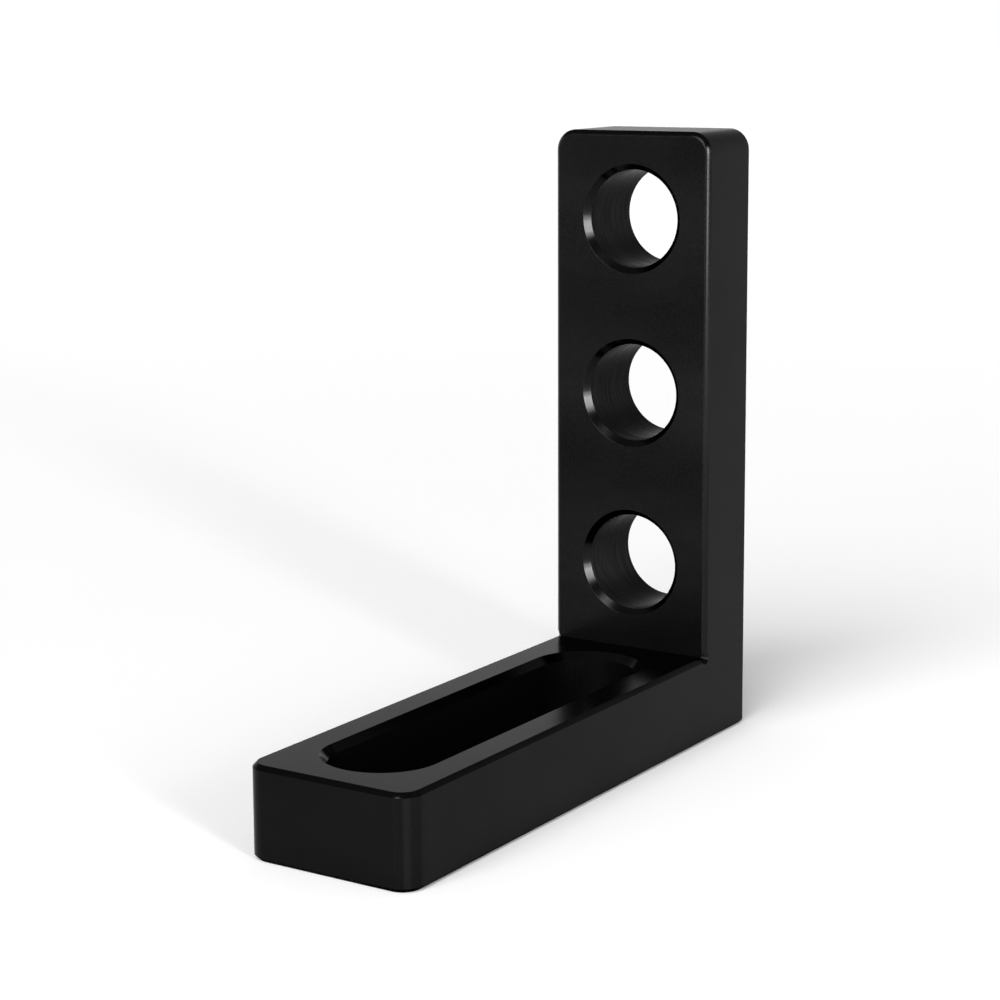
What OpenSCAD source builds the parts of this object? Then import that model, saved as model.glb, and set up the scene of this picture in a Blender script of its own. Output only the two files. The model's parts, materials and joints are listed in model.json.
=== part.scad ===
// Stop and clamping angle for a welding table with a bore grid.
// One solid piece of steel: a slotted base leg and an upright leg with a column of bores.
// The origin is on the underside, at the middle of the footprint. The base runs along Y,
// with its free end towards -Y, and the upright stands at the +Y end.

/* [Legs] */
// Length of the base, from its free end to the back of the heel
base_length = 175; // [140:1:300]
// Height of the upright, from the underside to its top
upright_height = 175; // [140:1:300]
// Width of both legs
leg_width = 50; // [40:1:80]
// Thickness of both legs
leg_thickness = 25; // [18:0.5:35]
// Radius of the two corners at the free end of each leg
corner_radius = 6; // [3:0.5:10]
// 45 degree chamfer on all outer edges
edge_chamfer = 1.2; // [0.4:0.1:2]

/* [Bores in the upright] */
// Diameter of each bore, to take a clamping bolt
bore_diameter = 28; // [12:0.5:34]
// Distance between neighbouring bores
bore_pitch = 50; // [40:1:100]
// Height of the lowest bore's axis above the underside
first_bore_height = 50; // [48:1:70]
// Least metal that is left above the highest bore
bore_top_wall = 5; // [3:0.5:20]
// Chamfer of each bore on the inner face of the upright
bore_front_chamfer = 1.7; // [0.5:0.1:3]
// Chamfer of each bore on the back of the heel
bore_back_chamfer = 1; // [0.5:0.1:3]

/* [Slot in the base] */
// Width of the slot, to take the same bolt as the bores
slot_width = 28; // [12:0.5:34]
// Metal left between the slot and the free end, and between the slot and the upright
slot_end_wall = 11; // [6:0.5:30]
// Chamfer round the slot's upper rim
slot_top_chamfer = 2; // [0.5:0.1:3]
// Chamfer round the slot's lower rim
slot_bottom_chamfer = 1; // [0.5:0.1:3]

/* [Hidden] */

// How far a cutter stands out of the face that it opens on
overshoot = 1;
round_steps = 96;

half_width = leg_width / 2;
heel_back_y = base_length / 2;
free_end_y = heel_back_y - base_length;
inner_face_y = heel_back_y - leg_thickness;

// As many bores as the upright holds, counted up from the lowest
bore_space = upright_height - bore_top_wall - bore_diameter / 2 - first_bore_height;
bore_count = 1 + floor(bore_space / bore_pitch);

slot_radius = slot_width / 2;
slot_near_axis_y = free_end_y + slot_end_wall + slot_radius;
slot_far_axis_y = inner_face_y - slot_end_wall - slot_radius;

// Mark that the chamfering cutter leaves where it turns in the inner corner
turn_mark_radius = 1.6 * edge_chamfer;
turn_mark_tip = 0.25 * edge_chamfer;

// A rectangle from (x0, y0) to (x1, y1) with its corners cut off at 45 degrees
module cut_rectangle(x0, y0, x1, y1, cut) {
    polygon([
        [x0 + cut, y0], [x1 - cut, y0], [x1, y0 + cut], [x1, y1 - cut],
        [x1 - cut, y1], [x0 + cut, y1], [x0, y1 - cut], [x0, y0 + cut]
    ]);
}

// Section of a rounded corner, to be turned about its axis: square at the axis, chamfered outside
module corner_section() {
    polygon([
        [0, 0],
        [corner_radius - edge_chamfer, 0],
        [corner_radius, edge_chamfer],
        [corner_radius, leg_thickness - edge_chamfer],
        [corner_radius - edge_chamfer, leg_thickness],
        [0, leg_thickness]
    ]);
}

// A leg lying on the underside, from the heel's back at y = 0 to its free end at y = -reach.
// Three crossing extrusions meet in a bar with every straight edge chamfered, and the two
// corners of the free end are left out of its plan and filled with turned quarters.
module leg(reach) {
    intersection() {
        rotate([90, 0, 0])
            linear_extrude(height = reach)
                cut_rectangle(-half_width, 0, half_width, leg_thickness, edge_chamfer);
        rotate([90, 0, 90])
            translate([0, 0, -half_width])
                linear_extrude(height = leg_width)
                    cut_rectangle(-reach, 0, 0, leg_thickness, edge_chamfer);
        linear_extrude(height = leg_thickness)
            difference() {
                cut_rectangle(-half_width, -reach, half_width, 0, edge_chamfer);
                for (side = [-1, 1])
                    translate([side * half_width, -reach])
                        square(2 * corner_radius, center = true);
            }
    }
    for (side = [-1, 1])
        translate([side * (half_width - corner_radius), corner_radius - reach, 0])
            rotate([0, 0, side > 0 ? -90 : 180])
                rotate_extrude(angle = 90, $fn = round_steps)
                    corner_section();
}

// A bore along Y with a chamfer at each mouth, centred on x = 0 at the given height
module bore(height) {
    radius = bore_diameter / 2;
    translate([0, inner_face_y, height])
        rotate([-90, 0, 0])
            rotate_extrude($fn = round_steps)
                polygon([
                    [0, -overshoot],
                    [radius + bore_front_chamfer, -overshoot],
                    [radius + bore_front_chamfer, 0],
                    [radius, bore_front_chamfer],
                    [radius, leg_thickness - bore_back_chamfer],
                    [radius + bore_back_chamfer, leg_thickness],
                    [radius + bore_back_chamfer, leg_thickness + overshoot],
                    [0, leg_thickness + overshoot]
                ]);
}

// Half of the slot's cross-section, from its middle plane outwards
module slot_half_section() {
    polygon([
        [0, -overshoot],
        [slot_radius + slot_bottom_chamfer, -overshoot],
        [slot_radius + slot_bottom_chamfer, 0],
        [slot_radius, slot_bottom_chamfer],
        [slot_radius, leg_thickness - slot_top_chamfer],
        [slot_radius + slot_top_chamfer, leg_thickness],
        [slot_radius + slot_top_chamfer, leg_thickness + overshoot],
        [0, leg_thickness + overshoot]
    ]);
}

// The slot through the base: the half section run straight on both sides and turned round both ends
module slot() {
    run = slot_far_axis_y - slot_near_axis_y;
    translate([0, slot_far_axis_y, 0])
        rotate([90, 0, 0])
            linear_extrude(height = run) {
                slot_half_section();
                mirror([1, 0])
                    slot_half_section();
            }
    translate([0, slot_far_axis_y, 0])
        rotate_extrude(angle = 180, $fn = round_steps)
            slot_half_section();
    translate([0, slot_near_axis_y, 0])
        rotate([0, 0, 180])
            rotate_extrude(angle = 180, $fn = round_steps)
                slot_half_section();
}

// The small conical mark at each side of the inner corner
module turn_marks() {
    for (side = [-1, 1])
        translate([side * half_width, inner_face_y, leg_thickness])
            rotate([0, -side * 90, 0])
                cylinder(
                    h = turn_mark_radius - turn_mark_tip,
                    r1 = turn_mark_radius,
                    r2 = turn_mark_tip,
                    $fn = round_steps
                );
}

module angle_body() {
    color([0.1, 0.1, 0.105])
        difference() {
            translate([0, heel_back_y, 0]) {
                leg(base_length);
                // The upright is the base's mirror image in the plane that halves the heel
                mirror([0, 1, 1])
                    leg(upright_height);
            }
            slot();
            for (i = [0 : bore_count - 1])
                bore(first_bore_height + i * bore_pitch);
            turn_marks();
        }
}

angle_body();
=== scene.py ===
import json

import bmesh
import bpy
import numpy as np
from mathutils import Matrix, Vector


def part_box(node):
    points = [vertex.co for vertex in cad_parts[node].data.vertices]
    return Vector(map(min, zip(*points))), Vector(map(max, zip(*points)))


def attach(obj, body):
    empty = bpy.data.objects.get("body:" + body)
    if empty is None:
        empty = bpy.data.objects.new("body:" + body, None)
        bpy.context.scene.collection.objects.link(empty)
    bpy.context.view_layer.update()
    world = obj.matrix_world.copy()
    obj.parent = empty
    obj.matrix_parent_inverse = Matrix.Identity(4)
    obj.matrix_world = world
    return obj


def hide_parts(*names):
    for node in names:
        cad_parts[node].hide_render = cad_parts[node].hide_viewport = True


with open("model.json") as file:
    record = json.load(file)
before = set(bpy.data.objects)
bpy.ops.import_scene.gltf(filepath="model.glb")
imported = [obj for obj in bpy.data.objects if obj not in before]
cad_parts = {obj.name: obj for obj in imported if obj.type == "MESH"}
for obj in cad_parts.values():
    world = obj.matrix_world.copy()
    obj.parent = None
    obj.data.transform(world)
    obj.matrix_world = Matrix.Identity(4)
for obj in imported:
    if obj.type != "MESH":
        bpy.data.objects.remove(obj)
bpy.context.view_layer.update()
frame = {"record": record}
scene = bpy.context.scene

MM = 0.001

# The camera stands to the right of the free end, a little above the top of the upright, and looks
# down the base leg at the inner corner. Its axis meets the picture a little above and to the left of
# the middle, and the lens shift makes up for that.
view_azimuth = np.radians(34.434)
view_drop = np.radians(9.351)
view_roll = np.radians(0.576)
picture_side = 1000
focal_pixels = 2440.9
axis_pixel = np.array([420.0, 420.0])
aim = np.array([0.0, 0.0, 87.5]) * MM
aim_from_camera = np.array([25.32, 13.31, 653.09]) * MM

look = np.array([
    -np.sin(view_azimuth) * np.cos(view_drop),
    np.cos(view_azimuth) * np.cos(view_drop),
    -np.sin(view_drop),
])
level_right = np.array([np.cos(view_azimuth), np.sin(view_azimuth), 0.0])
level_down = np.cross(look, level_right)
right = level_right * np.cos(view_roll) + level_down * np.sin(view_roll)
down = level_down * np.cos(view_roll) - level_right * np.sin(view_roll)
across, below, ahead = aim_from_camera
eye = aim - across * right - below * down - ahead * look

camera_data = bpy.data.cameras.new("camera")
camera_data.sensor_width = 36.0
camera_data.lens = focal_pixels / picture_side * camera_data.sensor_width
camera_data.shift_x = (picture_side / 2 - axis_pixel[0]) / picture_side
camera_data.shift_y = (axis_pixel[1] - picture_side / 2) / picture_side
camera_data.clip_start = 0.01
camera_data.clip_end = 100.0
camera = bpy.data.objects.new("camera", camera_data)
camera.matrix_world = Matrix([
    [right[i], -down[i], -look[i], eye[i]] for i in range(3)
] + [[0.0, 0.0, 0.0, 1.0]])
scene.collection.objects.link(camera)
scene.camera = camera

# The body of the angle is one block of steel, milled to an L. Each leg is a plate with a chamfer run
# round its outline and the mouths of its openings, and the two legs are mirror images in the plane
# that halves the heel. The first functions draw lines on a plate: x is measured across it, u along
# it from the free end, and t through it from the outer face to the inner one.
mounts = {mount["name"]: mount for mount in frame["record"]["mounts"]}
low, high = (np.array(corner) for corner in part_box("angle_body"))
half_width = (high[0] - low[0]) / 2
leg_length = high[1] - low[1]
leg_thickness = high[1] - mounts["upright_inner_face"]["pos_m"][1]
corner_radius = 6 * MM
edge_chamfer = 1.2 * MM
chamfer_swell = 0.045 * MM
mark_radius = 1.6 * edge_chamfer
mark_tip = 0.25 * edge_chamfer
inner_end = leg_length - leg_thickness

# Numbers of steps along the outline; a quarter of an opening takes as many as the outline beside it
side_steps = 18
corner_steps = 16
end_steps = 10
mark_steps = 2
chamfer_steps = 4
wall_steps = 6
slot_side_steps = 4 * side_steps
quarter_steps = 2 * end_steps + corner_steps


def line(start, end, steps):
    """Points evenly spaced on the straight line from start to end."""
    share = np.linspace(0, 1, steps + 1)[:, None]
    return (1 - share) * np.asarray(start, float) + share * np.asarray(end, float)


def chain(*pieces):
    """Pieces of line joined end to end, each shared point kept once."""
    return np.concatenate([pieces[0]] + [piece[1:] for piece in pieces[1:]])


def loft(first, last, steps):
    """Straight rulings from each point of one line to the same point of the other."""
    share = np.linspace(0, 1, steps + 1)[:, None, None]
    return (1 - share) * first + share * last


def at_height(points, height):
    """Points (x, u) of a plate given their height t."""
    return np.concatenate([points, np.full(points.shape[:-1] + (1,), height)], axis=-1)


def free_end_quarter(axis, inset):
    """Right half of the free end's outline, drawn in by inset: down the side from axis, round the corner
    as a quarter circle about its centre, and in to the middle."""
    turn = np.linspace(0, np.pi / 2, corner_steps + 1)[:, None]
    radius = corner_radius - inset
    corner = [half_width - corner_radius, corner_radius] + radius * np.hstack([np.cos(turn), -np.sin(turn)])
    side = line([half_width - inset, axis], corner[0], end_steps)
    return chain(side, corner, line(corner[-1], [0, inset], end_steps))


def middle_quarter(axis, end):
    """Down the side from axis to end, then straight in to the middle of the leg."""
    edge = half_width - edge_chamfer
    return chain(line([edge, axis], [edge, end], side_steps), line([edge, end], [0, end], side_steps))


def outer_heel_quarter(axis):
    """The same on the outer face, to the start of the chamfer under the heel."""
    return middle_quarter(axis, leg_length - edge_chamfer)


def inner_heel_quarter(axis):
    """The same on the inner face, to the inner corner, with the notch of the turn mark cut from it."""
    edge = half_width - edge_chamfer
    notch = [
        [edge, inner_end - mark_radius + edge_chamfer],
        [half_width - mark_radius + mark_tip, inner_end - mark_tip],
        [half_width - mark_radius + mark_tip, inner_end],
    ]
    side = line([edge, axis], notch[0], side_steps)
    across_corner = line(notch[-1], [0, inner_end], quarter_steps - side_steps - mark_steps)
    return chain(side, np.array(notch), across_corner)


def opening_quarter(axis, towards, radius):
    """A quarter circle about the axis, from the side (x = radius) to the middle of the leg."""
    turn = np.linspace(0, np.pi / 2, quarter_steps + 1)[:, None]
    return np.hstack([radius * np.cos(turn), axis + towards * radius * np.sin(turn)])


def chamfer_rows():
    """Insets of lines along the upper chamfer and how far they lie under the inner face. A hand stone has
    left the chamfer faintly round: at the share s of its width it swells by chamfer_swell * 4 s (1 - s)."""
    share = np.linspace(0, 1, chamfer_steps + 1)
    swell = chamfer_swell * 4 * share * (1 - share) / np.sqrt(2)
    return edge_chamfer * (1 - share) - swell, edge_chamfer * share - swell


def heel_reach(inset, below):
    """Where a line along the upper chamfer meets the cone of the turn mark, whose radius is mark_radius less
    the inset: by the right triangle with the depth under the inner face."""
    return inner_end - np.sqrt((mark_radius - inset) ** 2 - below ** 2)


def half_outline(inset, heel, stations):
    """Right half of the plate's outline, drawn in by inset, from heel to the middle of the free end."""
    edge = half_width - inset
    back = line([edge, heel], [edge, stations[-1]], side_steps)
    sides = np.column_stack([np.full(len(stations), edge), stations[::-1]])
    return chain(back, sides, free_end_quarter(stations[0], inset))


def outline_strips(stations):
    """A plate's right half seen round its edge, as rows of half outlines: the upper chamfer, the flat side,
    the rounded corner, the flat end and the lower chamfer."""
    upper = [
        at_height(half_outline(inset, heel_reach(inset, below), stations), leg_thickness - below)
        for inset, below in zip(*chamfer_rows())
    ]
    # The lower chamfer runs on to the plane that halves the heel, and its inner half to the heel's chamfer
    lower = []
    for inset in np.array([0, 0.5, 1]) * edge_chamfer:
        heel = leg_length - max(inset, edge_chamfer - inset)
        lower.append(at_height(half_outline(inset, heel, stations), edge_chamfer - inset))
    heights = np.linspace(leg_thickness - edge_chamfer, edge_chamfer, wall_steps + 1)
    round_end = half_outline(0, leg_length, stations)[side_steps:]
    wall = np.array([at_height(round_end, height) for height in heights])
    corner = len(stations) - 1 + end_steps
    walls = np.split(wall, [corner, corner + corner_steps], axis=1)
    flat_side = np.concatenate([walls[0], walls[1][:, :1]], axis=1)
    round_corner = np.concatenate([walls[1], walls[2][:, :1]], axis=1)
    return np.array(upper), flat_side, round_corner, walls[2], np.array(lower)


def mark_turns():
    """Angles round the axis of the turn mark, from the inner face down to the plane that halves the heel:
    first where the cone meets the chamfer, by the depth and the radius there, then along the side face."""
    insets, below = chamfer_rows()
    on_chamfer = np.arcsin(below / (mark_radius - insets))
    on_side = np.linspace(on_chamfer[-1], np.radians(135), wall_steps + side_steps + 1)
    radii = np.concatenate([mark_radius - insets, np.full(len(on_side) - 1, mark_radius)])
    return np.concatenate([on_chamfer, on_side[1:]]), radii


def around_mark(turns, radii):
    """Points of the mark's cone at those angles and radii: the cone narrows by as much as it goes in."""
    radii = np.broadcast_to(radii, turns.shape)
    inward = half_width - mark_radius + radii
    return np.column_stack([inward, inner_end - radii * np.cos(turns), leg_thickness - radii * np.sin(turns)])


def heel_patches(stations):
    """The side face behind the last opening as a fan round the turn mark, the mark's cone and tip, and the
    chamfer under the heel up to the plane that halves it."""
    turns, radii = mark_turns()
    rim = around_mark(turns, radii)
    tip = around_mark(turns, mark_tip)
    top = [half_width, stations[-1], leg_thickness - edge_chamfer]
    foot = [half_width, stations[-1], edge_chamfer]
    heel = [half_width, leg_length - edge_chamfer, edge_chamfer]
    frame_line = chain(line(top, foot, wall_steps), line(foot, heel, side_steps))
    fan = loft(frame_line, rim[chamfer_steps:], side_steps)
    cone = loft(rim, tip, 1)
    disc = loft(tip, np.broadcast_to([tip[0, 0], inner_end, leg_thickness], tip.shape), 1)
    under = loft(
        line([half_width - edge_chamfer, heel[1], 0], [0, heel[1], 0], quarter_steps - side_steps),
        line(
            [half_width - edge_chamfer / 2, leg_length - edge_chamfer / 2, edge_chamfer / 2],
            [0, leg_length - edge_chamfer / 2, edge_chamfer / 2],
            quarter_steps - side_steps,
        ),
        1,
    )
    return [fan, cone, disc, under]


# The upright has three bores for clamping bolts and the base one long slot of the same width. Both are
# a profile of two chamfers and a wall, turned about an axis and, for the slot, drawn straight between
# its two ends. The bores are turned, and the slot is milled.
bores = sorted((m for m in mounts.values() if m["kind"] == "bore"), key=lambda m: -m["pos_m"][2])
bore_radius = bores[0]["dims"]["r_mm"] * MM
bore_pitch = bores[0]["pos_m"][2] - bores[1]["pos_m"][2]
bore_front_chamfer = 1.7 * MM
bore_back_chamfer = 1 * MM
slot_radius = mounts["base_slot"]["dims"]["hole_r_mm"] * MM
slot_top_chamfer = 2 * MM
slot_bottom_chamfer = 1 * MM
slot_reach = mounts["base_slot"]["dims"]["slot_length_mm"] * MM / 2 - slot_radius
slot_middle = mounts["base_slot"]["pos_m"][1] - low[1]
rim_rings = 2
wall_rings = 12
face_rings = 3


def opening_profile(radius, upper_chamfer, lower_chamfer):
    """Radius and height down an opening: the upper chamfer, the straight wall and the lower chamfer."""
    upper = line([radius + upper_chamfer, leg_thickness], [radius, leg_thickness - upper_chamfer], rim_rings)
    wall = line(upper[-1], [radius, lower_chamfer], wall_rings)
    lower = line(wall[-1], [radius + lower_chamfer, 0], rim_rings)
    return upper, wall, lower


def faces_round_openings(axes, slotted, height, rim_radius):
    """Right half of a plate's face: from each opening's rim, rulings run out to the plate's outline, or to
    the line half way to the next bore. Beside a slot they run straight across."""
    heel_quarter = inner_heel_quarter if height > 0 else outer_heel_quarter
    outlines = [(axes[0], -1, free_end_quarter(axes[0], edge_chamfer))]
    if not slotted:
        for axis, next_axis in zip(axes, axes[1:]):
            half_way = (axis + next_axis) / 2
            outlines.append((axis, 1, middle_quarter(axis, half_way)))
            outlines.append((next_axis, -1, middle_quarter(next_axis, half_way)))
    outlines.append((axes[-1], 1, heel_quarter(axes[-1])))
    patches = [
        loft(opening_quarter(axis, towards, rim_radius), outline, face_rings)
        for axis, towards, outline in outlines
    ]
    if slotted:
        edge = half_width - edge_chamfer
        rim, beside = (line([x, axes[0]], [x, axes[-1]], slot_side_steps) for x in (rim_radius, edge))
        patches.append(loft(rim, beside, face_rings))
    return [at_height(patch, height) for patch in patches]


def opening_walls(axes, slotted, profile):
    """Right half of the openings: each point of the profile is turned about the axes, or drawn along
    the slot."""
    quarters = [(axis, towards) for axis in axes for towards in (-1, 1)]
    if slotted:
        quarters = [quarters[0], quarters[-1]]
    patches = [
        np.array([at_height(opening_quarter(axis, towards, radius), height) for radius, height in profile])
        for axis, towards in quarters
    ]
    if slotted:
        patches.append(np.array([
            at_height(line([radius, axes[0]], [radius, axes[-1]], slot_side_steps), height)
            for radius, height in profile
        ]))
    return patches


# Finishes of the surfaces, in the order of the body's material slots
GROUND, BORED_FACE, CHAMFERED, BORE_CHAMFERED, SIDE_MILLED, SLOT_MILLED_PAINTED_SHADE, TURNED, BROKEN = range(8)


def plate(axes, slotted, profiles):
    """All patches of one leg, as (finish, points) pairs: the right half, and its mirror image in x = 0."""
    upper, wall, lower = profiles
    if slotted:
        stations = np.linspace(axes[0], axes[-1], slot_side_steps + 1)
    else:
        spans = [np.linspace(axis, next_axis, 2 * side_steps + 1) for axis, next_axis in zip(axes, axes[1:])]
        stations = chain(*spans)
    upper_strip, side, corner, end, lower_strip = outline_strips(stations)
    fan, cone, disc, under = heel_patches(stations)
    face_finish = GROUND if slotted else BORED_FACE
    half = [(CHAMFERED, patch) for patch in (upper_strip, cone, disc, under)]
    half += [(GROUND, side), (SIDE_MILLED, corner), (face_finish, end), (GROUND, fan)]
    # The base's lower chamfer takes the dark slot finish, whose low tone paints the shade where it meets the
    # floor.
    half.append((SLOT_MILLED_PAINTED_SHADE if slotted else CHAMFERED, lower_strip))
    half += [(face_finish, face) for face in faces_round_openings(axes, slotted, leg_thickness, upper[0, 0])]
    half += [(face_finish, face) for face in faces_round_openings(axes, slotted, 0.0, lower[-1, 0])]
    # A slot's walls take its dark finish, whose low tone paints the shade inside the slot.
    rim_finish, wall_finish = (CHAMFERED, SLOT_MILLED_PAINTED_SHADE) if slotted else (BORE_CHAMFERED, TURNED)
    for rim in (upper, lower):
        half += [(rim_finish, patch) for patch in opening_walls(axes, slotted, rim)]
    half += [(wall_finish, patch) for patch in opening_walls(axes, slotted, wall)]
    return half + [(finish, patch * [-1, 1, 1]) for finish, patch in half]


def lay_base(points):
    """Leg coordinates to the frame: the base lies on its outer face, with its free end at the front."""
    x, u, t = np.moveaxis(points, -1, 0)
    return np.stack([x, low[1] + u, low[2] + t], axis=-1)


def stand_upright(points):
    """Leg coordinates to the frame: the upright's outer face is the back, and its free end the top."""
    x, u, t = np.moveaxis(points, -1, 0)
    return np.stack([x, high[1] - t, high[2] - u], axis=-1)


slot_axes = [slot_middle - slot_reach, slot_middle + slot_reach]
slot_profiles = opening_profile(slot_radius, slot_top_chamfer, slot_bottom_chamfer)
bore_axes = [high[2] - bore["pos_m"][2] for bore in bores]
bore_profiles = opening_profile(bore_radius, bore_front_chamfer, bore_back_chamfer)
patches = [(finish, lay_base(points)) for finish, points in plate(slot_axes, True, slot_profiles)]
patches += [(finish, stand_upright(points)) for finish, points in plate(bore_axes, False, bore_profiles)]
merge_distance = 0.001 * MM
sharp_above = np.radians(25)


def mesh_from_patches(name, patches):
    """One mesh from grids of points: four neighbours make a face, and points that coincide are merged."""
    points, faces, finishes = [], [], []
    count = 0
    for finish, patch in patches:
        rows, columns = patch.shape[:2]
        index = count + np.arange(rows * columns).reshape(rows, columns)
        corners = (index[:-1, :-1], index[1:, :-1], index[1:, 1:], index[:-1, 1:])
        faces.append(np.stack(corners, axis=-1).reshape(-1, 4))
        finishes.append(np.full(len(faces[-1]), finish))
        points.append(patch.reshape(-1, 3))
        count += rows * columns
    mesh = bpy.data.meshes.new(name)
    mesh.from_pydata(np.concatenate(points), [], np.concatenate(faces))
    mesh.polygons.foreach_set("material_index", np.concatenate(finishes))
    shape = bmesh.new()
    shape.from_mesh(mesh)
    bmesh.ops.remove_doubles(shape, verts=shape.verts, dist=merge_distance)
    bmesh.ops.recalc_face_normals(shape, faces=shape.faces)
    shape.to_mesh(mesh)
    shape.free()
    return mesh


body_mesh = mesh_from_patches("steel_angle", patches)
body_mesh.shade_smooth()
body_mesh.set_sharp_from_angle(angle=sharp_above)
body = bpy.data.objects.new("steel_angle", body_mesh)
scene.collection.objects.link(body)
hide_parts("angle_body")
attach(body, "root")

# The upright's edges are broken by a stroke of the stone, which leaves a narrow rounded and slightly
# polished line: widest round its inner face, where hands and clamps pass. The base, the corner where
# the legs meet and the turn marks stay as they were cut.
break_width = 0.32 * MM
narrow_share = 0.15
break_segments = 3
least_turn = np.radians(20)
most_turn = np.radians(75)
keep_off_mark = 2.6 * MM
bore_surround = 17 * MM
on_face = 0.001 * MM


def edges_to_break(mesh):
    """Weights of the edges. An edge is broken where its two faces turn away from each other by an angle
    between the least and the most, which leaves out the hollow corner: fully round the upright's inner
    face, and by the narrow share of the width elsewhere."""
    shape = bmesh.new()
    shape.from_mesh(mesh)
    turns = np.array([edge.calc_face_angle_signed(0.0) for edge in shape.edges])
    x, y, z = np.array([(edge.verts[0].co + edge.verts[1].co) / 2 for edge in shape.edges]).T
    shape.free()
    inner_face = low[1] + inner_end
    from_mark = np.sqrt((np.abs(x) - half_width) ** 2 + (y - inner_face) ** 2 + (z - leg_thickness) ** 2)
    from_bore = np.min([np.hypot(x, z - bore["pos_m"][2]) for bore in bores], axis=0)
    as_cut = (y < inner_face - on_face) | (z < low[2] + on_face) | (from_mark < keep_off_mark)
    broken = (turns > least_turn) & (turns < most_turn) & ~as_cut
    front = (np.abs(y - inner_face) < on_face) & (from_bore > bore_surround) & (z > leg_thickness)
    return (broken * np.where(front, 1.0, narrow_share)).astype(np.float32)


weights = body_mesh.attributes.new("bevel_weight_edge", "FLOAT", "EDGE")
weights.data.foreach_set("value", edges_to_break(body_mesh))
stone = body.modifiers.new("broken edges", "BEVEL")
stone.width = break_width
stone.segments = break_segments
stone.limit_method = "WEIGHT"
stone.use_clamp_overlap = False
stone.harden_normals = True
stone.material = BROKEN

# The steel is blackened in a hot bath and oiled. The bath takes evenly but for soft clouds, and how each
# face was cut shows through it: ground faces are silky, chamfers glossy, and bores keep fine rings.
# A noise mostly keeps to its middle range, which is the part that the finishes use.
cloud_size = 24 * MM
cloud_stretch = (2.2, 1.3, 1)
grain_size = 0.55 * MM
noise_middle = (0.36, 0.64)
line_relief = 0.75
# Range of q (1 - q) over which a highlight is painted on the rounded corners
corner_highlight_band = (0.21, 0.248)


def add_node(tree, kind, sockets, **settings):
    """A shader node with its settings, and a value or a link for each input socket that is named."""
    made = tree.nodes.new("ShaderNode" + kind)
    for setting, value in settings.items():
        setattr(made, setting, value)
    for socket, value in sockets.items():
        if isinstance(value, bpy.types.NodeSocket):
            tree.links.new(value, made.inputs[socket])
        else:
            made.inputs[socket].default_value = value
    return made


def compute(tree, operation, *values):
    """Output of a Math node with these values or links, in the order of its sockets."""
    return add_node(tree, "Math", dict(enumerate(values)), operation=operation).outputs[0]


def remap(tree, value, source, target):
    """Carries a value from the source range to the target range, and holds it there."""
    return add_node(tree, "MapRange", {
        "Value": value,
        "From Min": source[0], "From Max": source[1],
        "To Min": target[0], "To Max": target[1],
    }).outputs["Result"]


def pattern(tree, size, detail, stretch=(1, 1, 1)):
    """Noise from 0 to 1 whose patches are about size across, drawn out by stretch along each axis."""
    place = add_node(tree, "TexCoord", {}).outputs["Object"]
    squeeze = add_node(tree, "Mapping", {"Vector": place, "Scale": [1 / (size * s) for s in stretch]})
    return add_node(tree, "TexNoise", {
        "Vector": squeeze.outputs[0], "Scale": 1.0, "Detail": detail, "Roughness": 0.5,
    }).outputs["Fac"]


def around_one(tree, noise, share):
    """A noise as a factor that varies by the share below and above 1."""
    return remap(tree, noise, noise_middle, (1 - share, 1 + share))


def bore_bands(tree, place, share, lead):
    """Factor that is 1 plus the share times the cosine of the height, which takes one turn from each bore to
    the next and starts with the lead at the lowest: with no lead it is greatest level with the bores."""
    up = add_node(tree, "SeparateXYZ", {0: place}).outputs["Z"]
    start = lead - 2 * np.pi * bores[-1]["pos_m"][2] / bore_pitch
    turns = compute(tree, "MULTIPLY_ADD", up, 2 * np.pi / bore_pitch, start)
    return compute(tree, "MULTIPLY_ADD", compute(tree, "COSINE", turns), share, 1.0)


def paint_corner_highlight(tree, place, share):
    """Factor for the rounded corners that paints a highlight on them: 1 plus the share where they face half
    way between end and side. With q the square of the way across the corner as a share of its radius, q (1 -
    q) is greatest there, at 1/4."""
    aside = compute(tree, "ABSOLUTE", add_node(tree, "SeparateXYZ", {0: place}).outputs["X"])
    across = remap(tree, aside, (half_width - corner_radius, half_width), (0.0, 1.0))
    square = compute(tree, "MULTIPLY", across, across)
    between = compute(tree, "MULTIPLY", square, compute(tree, "SUBTRACT", 1.0, square))
    return remap(tree, between, corner_highlight_band, (1.0, 1.0 + share))


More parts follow.
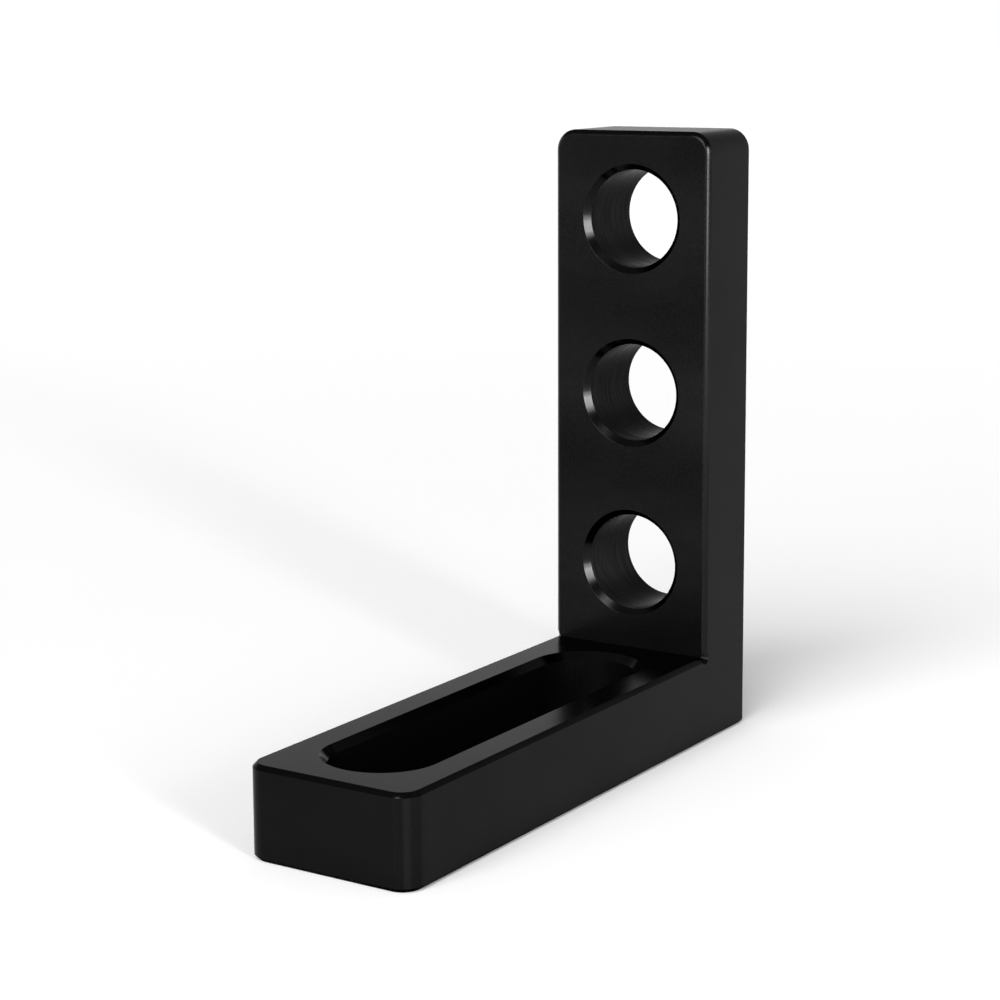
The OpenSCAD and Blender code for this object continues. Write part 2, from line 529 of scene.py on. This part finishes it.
def blackened_steel(
    name, tone, glancing, roughness, metallic, clouded, grained, bump,
    lines=None, lined=0.0, banded=(0.0, 0.0), corner_highlight=0.0,
):
    """Blackened steel: it reflects tone of the light that falls on it squarely, the metallic share of it as a
    mirror would, and at a glancing angle the share of what smooth metal would. Clouds, grain and the tool's
    lines change the tone by their shares, and change the roughness too; grain and lines stand up by bump.
    Banded is the share and the lead of the bands between bores, and the last argument the share of a
    highlight painted along the rounded corners."""
    steel = bpy.data.materials.new(name)
    steel.use_nodes = True
    tree = steel.node_tree
    surface = tree.nodes["Principled BSDF"]
    place = add_node(tree, "TexCoord", {}).outputs["Object"]
    clouds = pattern(tree, cloud_size, 3.0, cloud_stretch)
    grain = pattern(tree, grain_size, 3.0)
    change = compute(tree, "MULTIPLY", around_one(tree, clouds, clouded), around_one(tree, grain, grained))
    clouded_gloss = remap(tree, clouds, noise_middle, (1.08 * roughness, 0.92 * roughness))
    gloss = compute(tree, "MULTIPLY", clouded_gloss, around_one(tree, grain, 0.04))
    if any(banded):
        change = compute(tree, "MULTIPLY", change, bore_bands(tree, place, *banded))
    # A highlight painted on the rounded corners
    if corner_highlight:
        change = compute(tree, "MULTIPLY", change, paint_corner_highlight(tree, place, corner_highlight))
    height = grain
    if lines:
        cuts = pattern(tree, *lines)
        change = compute(tree, "MULTIPLY", change, around_one(tree, cuts, lined))
        gloss = compute(tree, "MULTIPLY", gloss, remap(tree, cuts, noise_middle, (1.25, 0.8)))
        height = compute(tree, "MULTIPLY_ADD", cuts, line_relief, grain)
    paint = add_node(tree, "VectorMath", {0: tone, "Scale": change}, operation="SCALE").outputs["Vector"]
    relief = add_node(tree, "Bump", {"Height": height, "Distance": bump, "Strength": 1.0}).outputs["Normal"]
    tree.links.new(paint, surface.inputs["Base Color"])
    tree.links.new(gloss, surface.inputs["Roughness"])
    tree.links.new(relief, surface.inputs["Normal"])
    surface.inputs["Metallic"].default_value = metallic
    surface.inputs["Specular IOR Level"].default_value = 0.0
    surface.inputs["Specular Tint"].default_value = (glancing, glancing, glancing, 1.0)
    return steel


# A tool's lines: their distance, their detail and how far they are drawn out along each axis
ring_lines = (0.6 * MM, 3.0, (22, 1, 22))
mill_lines = (0.9 * MM, 2.0, (1, 80, 80))
fine_bump = 0.0004 * MM
tool_bump = 0.0015 * MM
finishes = {
    GROUND: blackened_steel(
        "ground", (0.0092, 0.0092, 0.0095), glancing=0.67, roughness=0.22, metallic=1.0,
        clouded=0.12, grained=0.08, bump=fine_bump,
    ),
    BORED_FACE: blackened_steel(
        "bored_face", (0.0098, 0.0098, 0.0101), glancing=0.78, roughness=0.26, metallic=0.75,
        clouded=0.20, grained=0.13, bump=fine_bump, banded=(0.16, 0.0),
    ),
    CHAMFERED: blackened_steel(
        "chamfered", (0.0155, 0.0155, 0.0159), glancing=0.66, roughness=0.15, metallic=1.0,
        clouded=0.08, grained=0.10, bump=fine_bump,
    ),
    # The bands darken the upper half of each bore's chamfer and lighten its lower half: painted shade above
    # and painted light below.
    BORE_CHAMFERED: blackened_steel(
        "bore_chamfered", (0.0140, 0.0140, 0.0144), glancing=0.66, roughness=0.15, metallic=1.0,
        clouded=0.08, grained=0.10, bump=fine_bump, banded=(0.42, np.pi / 2),
    ),
    # The rounded corners get a painted highlight, up to half again as bright, where they face half way
    # between end and side.
    SIDE_MILLED: blackened_steel(
        "side_milled", (0.0095, 0.0095, 0.0098), glancing=0.67, roughness=0.26, metallic=1.0,
        clouded=0.10, grained=0.08, bump=tool_bump, lines=mill_lines, lined=0.10, corner_highlight=0.5,
    ),
    # The slot finish is rough milled steel, and its low tone is painted shade, which keeps the slot's hollow
    # and the base's foot dark.
    SLOT_MILLED_PAINTED_SHADE: blackened_steel(
        "slot_milled_painted_shade", (0.0055, 0.0055, 0.0056), glancing=0.4, roughness=0.45, metallic=0.8,
        clouded=0.10, grained=0.15, bump=tool_bump, lines=mill_lines, lined=0.2,
    ),
    # The bands darken the upper half of each bore's wall and lighten its lower half: painted shade above and
    # painted light below.
    TURNED: blackened_steel(
        "turned", (0.0135, 0.0135, 0.0138), glancing=0.54, roughness=0.27, metallic=0.9,
        clouded=0.18, grained=0.08, bump=tool_bump, lines=ring_lines, lined=0.3, banded=(0.35, np.pi / 2),
    ),
    BROKEN: blackened_steel(
        "broken_edge", (0.017, 0.017, 0.017), glancing=0.66, roughness=0.25, metallic=1.0,
        clouded=0.15, grained=0.2, bump=fine_bump,
    ),
}
for number in sorted(finishes):
    body_mesh.materials.append(finishes[number])

# The floor is a wide sheet of white paper. To the camera and the steel it is a shade whiter than in the light
# that it gives off, so that it comes out white and keeps the shadow. Near the object it is painted a shade
# darker than far out, which paints shade round the object onto the floor and into its reflections in the
# steel.
floor_half_size = 12.0
paper_white = 0.78
paper_seen_near = 0.99
paper_seen_far = 1.2
near_edge = 0.25
far_edge = 1.6
floor_data = bpy.data.meshes.new("floor")
floor_data.from_pydata(
    [(x * floor_half_size, y * floor_half_size, low[2]) for x, y in ((-1, -1), (1, -1), (1, 1), (-1, 1))],
    [], [(0, 1, 2, 3)],
)
floor = bpy.data.objects.new("floor", floor_data)
scene.collection.objects.link(floor)
paper = bpy.data.materials.new("white_paper")
paper.use_nodes = True
tree = paper.node_tree
tree.nodes.clear()
ray = add_node(tree, "LightPath", {}).outputs
seen = compute(tree, "MAXIMUM", ray["Is Camera Ray"], ray["Is Glossy Ray"])
seen = compute(tree, "MAXIMUM", seen, ray["Is Transmission Ray"])
place = add_node(tree, "TexCoord", {}).outputs["Object"]
distance = add_node(tree, "VectorMath", {0: place}, operation="LENGTH").outputs["Value"]
# Painted shade: the paper is seen darker near the object and whiter far out
seen_white = remap(tree, distance, (near_edge, far_edge), (paper_seen_near, paper_seen_far))
whiteness = remap(tree, seen, (0.0, 1.0), (paper_white, seen_white))
paint = add_node(tree, "BsdfDiffuse", {"Color": whiteness})
add_node(tree, "OutputMaterial", {"Surface": paint.outputs[0]})
floor_data.materials.append(paper)

# The studio: white walls up to a little above eye level and a dimmer room over them, a wide soft light
# overhead, a tall and narrow key to the right of the free end, and a weak soft box before it.
scene.view_settings.view_transform = "Standard"
# Levels of the room by the sine of the angle above eye level
room_levels = [
    (0.0, 1.0), (0.14, 1.0), (0.22, 0.88), (0.34, 0.72), (0.46, 0.34), (0.6, 0.2), (0.76, 0.27), (1.0, 0.2),
]
world = bpy.data.worlds.new("studio")
scene.world = world
world.use_nodes = True
tree = world.node_tree
direction = add_node(tree, "TexCoord", {}).outputs["Generated"]
upward = add_node(tree, "SeparateXYZ", {0: direction}).outputs["Z"]
ramp = add_node(tree, "ValToRGB", {0: upward})
stops = ramp.color_ramp.elements
given_stops = len(stops)
for i, (sine, level) in enumerate(room_levels):
    stop = stops[i] if i < given_stops else stops.new(sine)
    stop.position = sine
    stop.color = (level, level, level, 1.0)
tree.links.new(ramp.outputs["Color"], tree.nodes["Background"].inputs["Color"])


def away_from_object(azimuth, elevation):
    """Direction by azimuth, from the front towards the right, and elevation, both in degrees."""
    a, e = np.radians([azimuth, elevation])
    return np.array([np.sin(a) * np.cos(e), -np.cos(a) * np.cos(e), np.sin(e)])


def hang_lamp(name, kind, away, centre):
    """A lamp whose back is turned towards away, with its sides level; the camera doesn't see it."""
    data = bpy.data.lights.new(name, kind)
    lamp = bpy.data.objects.new(name, data)
    side = np.cross([0.0, 0.0, 1.0], away)
    side /= np.linalg.norm(side)
    up = np.cross(away, side)
    lamp.matrix_world = Matrix([
        [side[i], up[i], away[i], centre[i]] for i in range(3)
    ] + [[0.0, 0.0, 0.0, 1.0]])
    lamp.visible_camera = False
    scene.collection.objects.link(lamp)
    return data


def soft_box(name, azimuth, distance, foot, top, width, radiance):
    """An upright rectangular lamp that stands at that azimuth and distance, between two heights. Its power
    is its radiance times its area times pi."""
    away = away_from_object(azimuth, 0)
    data = hang_lamp(name, "AREA", away, distance * away + [0, 0, (foot + top) / 2])
    data.shape = "RECTANGLE"
    data.size = width
    data.size_y = top - foot
    data.energy = radiance * width * (top - foot) * np.pi


overhead_azimuth = 8
overhead_elevation = 41
overhead_width = 44
overhead_level = 0.52
overhead_away = away_from_object(overhead_azimuth, overhead_elevation)
overhead = hang_lamp("overhead", "SUN", overhead_away, 2.0 * overhead_away)
overhead.angle = np.radians(overhead_width)
overhead.energy = overhead_level * np.pi / np.sin(np.radians(overhead_elevation))
# The key's diffuser is dimmer towards its left edge, its foot and its top: columns by their left and right
# edges and rows by their foot and top, in metres, each with its share of the radiance
key_azimuth = 57.8
key_distance = 1.2
key_radiance = 37.0
key_columns = [(-0.045, 0.008, 0.36), (0.008, 0.045, 0.52), (0.045, 0.140, 1.0)]
key_rows = [(0.02, 0.15, 0.45), (0.15, 0.575, 1.0), (0.575, 0.72, 0.45)]
for left, right, column_share in key_columns:
    turn = np.degrees(np.arctan2((left + right) / 2, key_distance))
    for foot, top, row_share in key_rows:
        soft_box(
            "key", azimuth=key_azimuth + turn, distance=key_distance, foot=foot, top=top, width=right - left,
            radiance=key_radiance * column_share * row_share,
        )
soft_box("fill", azimuth=-4, distance=1.4, foot=0.3, top=0.75, width=0.8, radiance=4.5)
